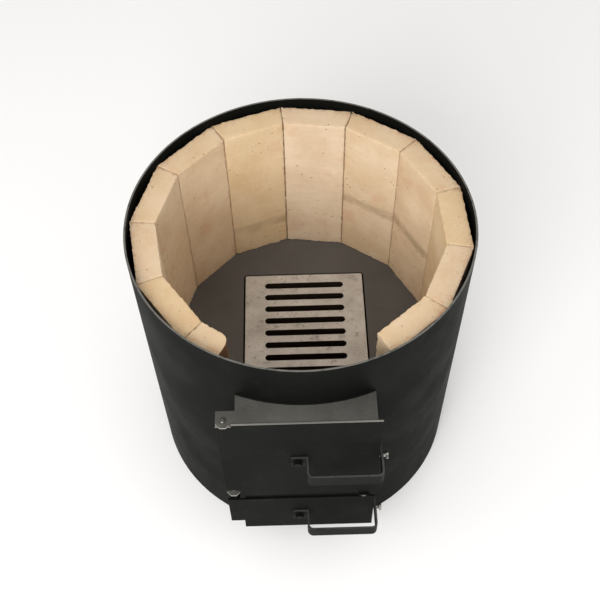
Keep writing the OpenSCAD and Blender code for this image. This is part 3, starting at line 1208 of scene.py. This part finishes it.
@dataclass
class Lining:
    """The ring of standing slabs, counted clockwise from the neck's left.

    Attributes:
        slabs: How many slabs stand in the ring.
        banded: Slabs with a dark level band, and its height in metres.
        tones: Ground tones that the slabs take in turn: darker, lighter and fired cloud.
        round_mm: Radius of the worn inner edge of the cut slab left of the neck.
        back_mm: Radius at which the knocks in the slabs' backs lie.
        half_mm: Distance from a slab's middle, near its corner, that counts as 1 along it.
    """

    slabs: int = 12
    banded: dict[int, float] = field(default_factory=lambda: {6: 0.262, 8: 0.33, 9: 0.335})
    tones: tuple[tuple[str, str, str], ...] = (
        ("#dcc09a", "#ead2b3", "#dcab8a"),
        ("#dbbe9a", "#ebd3b2", "#d8a581"),
        ("#dabc90", "#e9d0ab", "#dcb08c"),
        ("#ddc2a1", "#edd7ba", "#d9ac8a"),
    )
    round_mm: float = 14.0
    back_mm: float = 240.0
    half_mm: float = 55.0

    def build(self) -> None:
        """Make every slab with its own piece of the clay's pattern, then fill the joints."""
        faces = {}
        for number in range(1, self.slabs + 1):
            tan, cream, blush = self.tones[number % len(self.tones)]
            clay = Fireclay(
                f"fireclay_{number:02d}", shift=0.37 * number, tan=tan, cream=cream, blush=blush,
                band_z=self.banded.get(number, 0.0),
            )
            worn = self.round_mm if number == 1 else 0.0
            faces[number] = Slab(f"brick_{number:02d}", clay, self.knocks(number), worn).build()
        for number in range(1, self.slabs):
            self.fill_joint(number, faces[number], faces[number + 1])

    @staticmethod
    def fill_joint(number: int, one: list[tuple[Vector, Vector]], two: list[tuple[Vector, Vector]]) -> None:
        """Fill the joint between two neighbouring slabs.

        Args:
            number: Number of the first slab.
            one: Middle and normal of the first slab's faces.
            two: Middle and normal of the second slab's faces.
        """
        pairs = [(a, b) for a in one for b in two]
        near, far = min(pairs, key=lambda pair: (pair[0][0] - pair[1][0]).length)
        low, high = (Vector(corner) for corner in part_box(f"brick_{number:02d}"))
        depth = max(
            (a[0].xy - b[0].xy).length for a in one for b in one
            if abs(a[1].dot(b[1]) + 1) < 0.01 and abs(a[1].z) < 0.5
        )
        JointDust().build(number, (near[0] + far[0]) / 2, near[1], depth, high.z - low.z)

    def knocks(self, number: int) -> list[tuple[float, float, float, float]]:
        """Return the knocks of one slab, from its own place in the ring.

        Args:
            number: Slab's number.

        Returns:
            Places and radii in millimetres.
        """
        low, high = (Vector(corner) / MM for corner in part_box(f"brick_{number:02d}"))
        middle = (low + high) / 2
        out = Vector((middle.x, middle.y, 0)).normalized()
        side = Vector((-out.y, out.x, 0))
        # Each knock: share of the half width, millimetres inwards and upwards, radius
        plan = {
            2: [(0.98, 1, 0, 3.5)],
            3: [(-0.98, 0, 0, 3.5), (0.97, 1, 0, 3)],
            4: [(-0.98, 0, 0, 4)],
            5: [(-0.86, 37, 0, 7), (-0.98, 1, 0, 4), (-0.84, 37, -24, 4)],
            6: [(0.88, 37, 1, 5), (0.98, 0, 0, 5), (-0.97, 0, 0, 3.5)],
            7: [(0.98, 0, 1, 3), (-0.98, 0, 0, 4.5)],
            8: [(0.98, 0, 0, 5), (-0.84, 37, 0, 5), (-0.98, 0, 0, 4)],
            9: [(0.86, 37, 1, 4), (-0.98, 0, 0, 4.5)],
            10: [(0.98, 0, 0, 5), (0.1, 37, 1, 3)],
            11: [(0.98, 1, 0, 3.5)],
        }
        found = []
        for along, inward, up, radius in plan.get(number, []):
            place = out * (self.back_mm - inward) + side * (along * self.half_mm)
            found.append((place.x, place.y, high.z + up, radius))
        return found


@dataclass
class Grate:
    """The sand-cast grate, with the soft edges that a casting has.

    Attributes:
        edge_mm: Radius of its edges.
        border_mm: Width of the border that has no slot in it.
    """

    edge_mm: float = 1.3
    border_mm: float = 6.0

    def build(self) -> None:
        """Make the grate, with painted shade on the walls of its slots."""
        piece = SheetPiece("grate", GREY_IRON, self.edge_mm, 3).build()
        low, high = (Vector(corner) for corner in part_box("grate"))
        border = self.border_mm * MM

        def in_slot(middle: Vector, normal: Vector) -> bool:
            """Pick the steep faces inside the grate's border."""
            inside = all(low[i] + border < middle[i] < high[i] - border for i in (0, 1))
            return inside and abs(normal.z) < 0.5

        # Painted shade: the slots' steep walls get a dark brown tone.
        dress_faces(piece, SLOT_PAINTED_SHADE.material(), in_slot)


@dataclass
class Neck:
    """The welded box neck with its ears, crossbar and rest bracket.

    Attributes:
        dark: Nodes with the shell's paint all over.
        floors: Nodes with the floor's paint.
        bead_mm: Radius of the weld on the top plate.
        bead_sides: Sides of the weld.
        bead_steps: Steps along the weld.
        ripple_mm: Length of its ripples.
        ripple_high_mm: Height of its ripples.
    """

    dark: tuple[str, ...] = (
        "neck_left_side", "neck_right_side", "neck_crossbar", "neck_bottom", "bottom_ear",
    )
    floors: tuple[str, ...] = ("floor_plate", "throat_floor", "grate_ledges")
    bead_mm: float = 1.7
    bead_sides: int = 10
    bead_steps: int = 110
    ripple_mm: float = 3.5
    ripple_high_mm: float = 0.9

    def build(self) -> None:
        """Make the neck's and floors' sheets."""
        for node in self.dark:
            SheetPiece(node, SHELL_PAINT).build()
        for node in self.floors:
            SheetPiece(node, FLOOR_PAINT).build()
        # The ash floor is painted dark: painted shade under the grate.
        SheetPiece("ash_floor", ASH_FLOOR).build()
        SheetPiece("rest_bracket", SHELL_PAINT).build()
        # The faces that look up get the paler paint: painted light from above.
        SheetPiece("neck_top", SHELL_PAINT, top=TOP_PAINTED_LIGHT, front=EAR_EDGE).build()
        SheetPiece("middle_ear", SHELL_PAINT, top=TOP_PAINTED_LIGHT, front=EAR_EDGE).build()
        self.weld_to_shell()

    def weld_to_shell(self) -> None:
        """Lay the painted bead where the neck's top plate meets the shell."""
        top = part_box("neck_top")[1][2]
        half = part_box("neck_right_side")[1][0]
        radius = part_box("shell")[1][0]
        spread = 2 * math.asin(half / radius)
        bpy.ops.mesh.primitive_circle_add(
            vertices=self.bead_sides, radius=self.bead_mm * MM, location=(radius, 0, top),
            rotation=(math.radians(90), 0, 0),
        )
        weld = bpy.context.active_object
        weld.name = "neck_weld"
        bpy.ops.object.transform_apply(location=True, rotation=True, scale=True)
        weld.data.transform(Matrix.Rotation(math.radians(-90) + spread / 2, 4, "Z"))
        with editing(weld, "VERT", "SELECT"):
            bpy.ops.mesh.spin(steps=self.bead_steps, angle=spread, center=(0, 0, 0), axis=(0, 0, 1))
            bpy.ops.mesh.select_all(action="SELECT")
            bpy.ops.mesh.normals_make_consistent(inside=False)
        roughen(weld, self.ripple_mm, self.ripple_high_mm, 0.6)
        with editing(weld, "EDGE"):
            bpy.ops.mesh.select_non_manifold()
            bpy.ops.mesh.edge_face_add()
            bpy.ops.mesh.select_all(action="SELECT")
            bpy.ops.mesh.normals_make_consistent(inside=False)
        smooth_by_angle(weld, 60)
        dress(weld, SHELL_PAINT.material())
        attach(weld, BODY_OF["neck_top"])


class DoorKind(Enum):
    """The two doors."""

    FIRE = "fire"
    ASH = "ash"


@dataclass
class Door:
    """A flat sheet door with its lugs, pivot bolt and strip handle.

    Attributes:
        kind: Which of the two doors it is.
        edge_mm: Width of the sheet's broken edge.
    """

    kind: DoorKind
    edge_mm: float = 0.4

    def build(self) -> None:
        """Make the door and what it carries."""
        name = self.kind.value
        top = DOOR_EDGE if self.kind is DoorKind.FIRE else None
        SheetPiece(f"{name}_door_panel", SHELL_PAINT, self.edge_mm, top=top).build()
        SheetPiece(f"{name}_door_lugs", SHELL_PAINT).build()
        for part in ("bolt", "washer", "nut"):
            SheetPiece(f"{name}_pivot_{part}", HANDLE_PAINT, 0.4).build()
        # The handle's top edge is lighter: painted highlight.
        SheetPiece(f"{name}_handle", HANDLE_PAINT, 0.5, 3, top=STRIP_TOP_HIGHLIGHT).build()


@dataclass
class Hardware:
    """Rod, spacer, screw, keeper bolts and nuts.

    Attributes:
        nodes: Nodes with the fixings' steel.
    """

    nodes: tuple[str, ...] = ("hinge_spacer", "rest_screw", "keeper_bolts", "keeper_nuts")

    def build(self) -> None:
        """Make the turned and threaded pieces."""
        SheetPiece("hinge_rod", ROD_STEEL, 0.4).build()
        for node in self.nodes:
            SheetPiece(node, FIXING_STEEL, 0.4).build()


# ---------------------------------------------------------------- studio


@dataclass(frozen=True)
class Softbox:
    """A square soft light.

    Attributes:
        name: Name of the light.
        place: Where it hangs, in metres.
        aim: The point that it faces.
        size: Length of its side, in metres.
        watts: Its power.
    """

    name: str
    place: tuple[float, float, float]
    aim: tuple[float, float, float]
    size: float
    watts: float

    def hang(self) -> None:
        """Hang the light in the scene."""
        data = bpy.data.lights.new(self.name, "AREA")
        data.shape = "SQUARE"
        data.size = self.size
        data.energy = self.watts
        lamp = bpy.data.objects.new(self.name, data)
        bpy.context.scene.collection.objects.link(lamp)
        lamp.location = self.place
        lamp.rotation_euler = (Vector(self.aim) - Vector(self.place)).to_track_quat("-Z", "Y").to_euler()


@dataclass
class Studio:
    """Pale sweep, soft lights and the camera.

    Attributes:
        lens_mm: Focal length on a 36 mm sensor.
        eye: Camera's place in metres.
        heading: Turn of the view from +Y, anticlockwise, in degrees.
        pitch: How far it looks down, in degrees.
        roll: Its turn about the line of sight, in degrees.
        floor_size: Length of the floor's side, in metres.
        floor_gap_mm: How far the floor lies below the stove.
        air: Strength of the light from all round.
        lights: A broad softbox above the front left and a faint one overhead.
    """

    lens_mm: float = 56.94
    eye: tuple[float, float, float] = (-0.0084, -0.8693, 1.5292)
    heading: float = -0.35
    pitch: float = 54.62
    roll: float = -1.31
    floor_size: float = 14.0
    floor_gap_mm: float = 0.4
    air: float = 0.76
    lights: tuple[Softbox, ...] = (
        Softbox("softbox_key", (-0.7, -2.1, 1.75), (0, 0.1, 0.3), 1.6, 54),
        Softbox("softbox_top", (0.1, 0.2, 2.6), (0, 0, 0.3), 1.2, 2),
    )

    def build(self) -> None:
        """Set up floor, lights and camera."""
        self.lay_floor()
        self.light_room()
        self.set_camera()

    def lay_floor(self) -> None:
        """Lay a broad, level, pale floor under the stove."""
        bpy.ops.mesh.primitive_plane_add(size=self.floor_size, location=(0, 0, -self.floor_gap_mm * MM))
        floor = bpy.context.active_object
        floor.name = "studio_floor"
        bpy.ops.object.transform_apply(location=True, rotation=True, scale=True)
        dress(floor, SWEEP.material())

    def light_room(self) -> None:
        """Light softly all round and hang the softboxes."""
        world = bpy.data.worlds.new("studio_air")
        bpy.context.scene.world = world
        world.use_nodes = True
        inputs = world.node_tree.nodes["Background"].inputs
        inputs["Color"].default_value = (1, 1, 1, 1)
        inputs["Strength"].default_value = self.air
        for light in self.lights:
            light.hang()

    def set_camera(self) -> None:
        """Place the camera by its heading, pitch and roll."""
        data = bpy.data.cameras.new("camera")
        data.lens = self.lens_mm
        data.sensor_width = 36.0
        camera = bpy.data.objects.new("camera", data)
        bpy.context.scene.collection.objects.link(camera)
        turn = Matrix.Rotation(math.radians(self.heading), 4, "Z")
        tilt = Matrix.Rotation(math.radians(90 - self.pitch), 4, "X")
        lean = Matrix.Rotation(math.radians(self.roll), 4, "Z")
        camera.matrix_world = Matrix.Translation(self.eye) @ turn @ tilt @ lean
        bpy.context.scene.camera = camera
        bpy.context.scene.view_settings.view_transform = "Standard"


def main() -> None:
    """Build the stove's looks and its studio."""
    logging.basicConfig(level=logging.INFO, format="%(name)s: %(message)s")
    Studio().build()
    Shell().build()
    Neck().build()
    Grate().build()
    Lining().build()
    for kind in DoorKind:
        Door(kind).build()
    Hardware().build()


if __name__ == "__main__":
    main()
